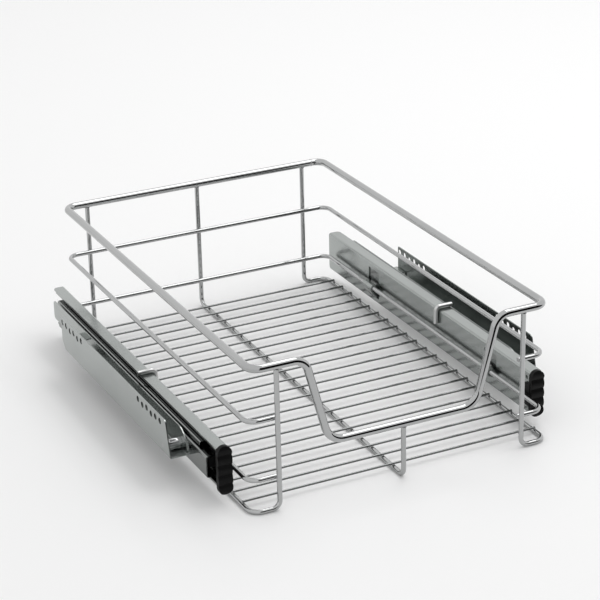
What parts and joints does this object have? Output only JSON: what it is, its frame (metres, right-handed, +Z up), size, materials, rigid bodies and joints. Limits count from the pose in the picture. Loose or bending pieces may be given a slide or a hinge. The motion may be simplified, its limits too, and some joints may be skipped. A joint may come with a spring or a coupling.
{
  "type": "pull out cabinet basket",
  "caption": "Chromed wire basket on two ball-bearing telescopic runners with side brackets that screw inside a kitchen cabinet; it slides out to the front.",
  "frame": {"origin": "under the middle of the basket, level with the underside of its base wires", "axes": "+X to the right, +Y to the back of the cabinet, +Z up; the basket's scooped front faces -Y"},
  "size_m": [0.414, 0.496, 0.1547],
  "materials": {
    "chrome_wire": "bright chrome plating",
    "plated_steel": "bright zinc plating, slightly greenish",
    "slide_steel": "zinc-plated cold-rolled steel",
    "cage_steel": "plain thin steel",
    "ball_steel": "polished ball steel",
    "black_plastic": "moulded, satin",
    "rubber": "soft black rubber"
  },
  "bodies": {
    "basket": {"top_rail": "chrome_wire", "mid_rail": "chrome_wire", "lower_rail": "chrome_wire", "centre_frame_wire": "chrome_wire", "cross_wires": "chrome_wire", "left_frame_wire": "chrome_wire", "left_hanger_hook": "chrome_wire", "left_runner_cover": "plated_steel", "left_drawer_member": "slide_steel", "left_end_cap": "black_plastic", "left_stop_buffer": "rubber", "right_frame_wire": "chrome_wire", "right_hanger_hook": "chrome_wire", "right_runner_cover": "plated_steel", "right_drawer_member": "slide_steel", "right_end_cap": "black_plastic", "right_stop_buffer": "rubber"},
    "left_middle": {"left_middle_member": "slide_steel"},
    "left_cabinet_side": {"left_cabinet_member": "slide_steel", "left_bracket": "plated_steel", "left_cross_plate": "plated_steel", "left_spacer_post": "chrome_wire", "left_bracket_rivets": "slide_steel"},
    "left_inner_cage": {"left_inner_ball_cage": "cage_steel", "left_inner_balls": "ball_steel"},
    "left_outer_cage": {"left_outer_ball_cage": "cage_steel", "left_outer_balls": "ball_steel"},
    "right_middle": {"right_middle_member": "slide_steel"},
    "right_cabinet_side": {"right_cabinet_member": "slide_steel", "right_bracket": "plated_steel", "right_cross_plate": "plated_steel", "right_spacer_post": "chrome_wire", "right_bracket_rivets": "slide_steel"},
    "right_inner_cage": {"right_inner_ball_cage": "cage_steel", "right_inner_balls": "ball_steel"},
    "right_outer_cage": {"right_outer_ball_cage": "cage_steel", "right_outer_balls": "ball_steel"}
  },
  "joints": [
    {"name": "left_middle_slide", "type": "slide", "parent": "basket", "child": "left_middle", "axis": [0, 1, 0], "range_m": [0, 0.21]},
    {"name": "left_cabinet_slide", "type": "slide", "parent": "left_middle", "child": "left_cabinet_side", "axis": [0, 1, 0], "range_m": [0, 0.21]},
    {"name": "left_inner_cage_slide", "type": "slide", "parent": "basket", "child": "left_inner_cage", "axis": [0, 1, 0], "range_m": [0, 0.105]},
    {"name": "left_outer_cage_slide", "type": "slide", "parent": "left_middle", "child": "left_outer_cage", "axis": [0, 1, 0], "range_m": [0, 0.105]},
    {"name": "right_middle_slide", "type": "slide", "parent": "basket", "child": "right_middle", "axis": [0, 1, 0], "range_m": [0, 0.21]},
    {"name": "right_cabinet_slide", "type": "slide", "parent": "right_middle", "child": "right_cabinet_side", "axis": [0, 1, 0], "range_m": [0, 0.21]},
    {"name": "right_inner_cage_slide", "type": "slide", "parent": "basket", "child": "right_inner_cage", "axis": [0, 1, 0], "range_m": [0, 0.105]},
    {"name": "right_outer_cage_slide", "type": "slide", "parent": "right_middle", "child": "right_outer_cage", "axis": [0, 1, 0], "range_m": [0, 0.105]}
  ],
  "couplings": [
    {"joint": "left_cabinet_slide", "follows": "left_middle_slide", "ratio": 1},
    {"joint": "left_inner_cage_slide", "follows": "left_middle_slide", "ratio": 0.5},
    {"joint": "left_outer_cage_slide", "follows": "left_middle_slide", "ratio": 0.5},
    {"joint": "right_middle_slide", "follows": "left_middle_slide", "ratio": 1},
    {"joint": "right_cabinet_slide", "follows": "left_middle_slide", "ratio": 1},
    {"joint": "right_inner_cage_slide", "follows": "left_middle_slide", "ratio": 0.5},
    {"joint": "right_outer_cage_slide", "follows": "left_middle_slide", "ratio": 0.5}
  ]
}
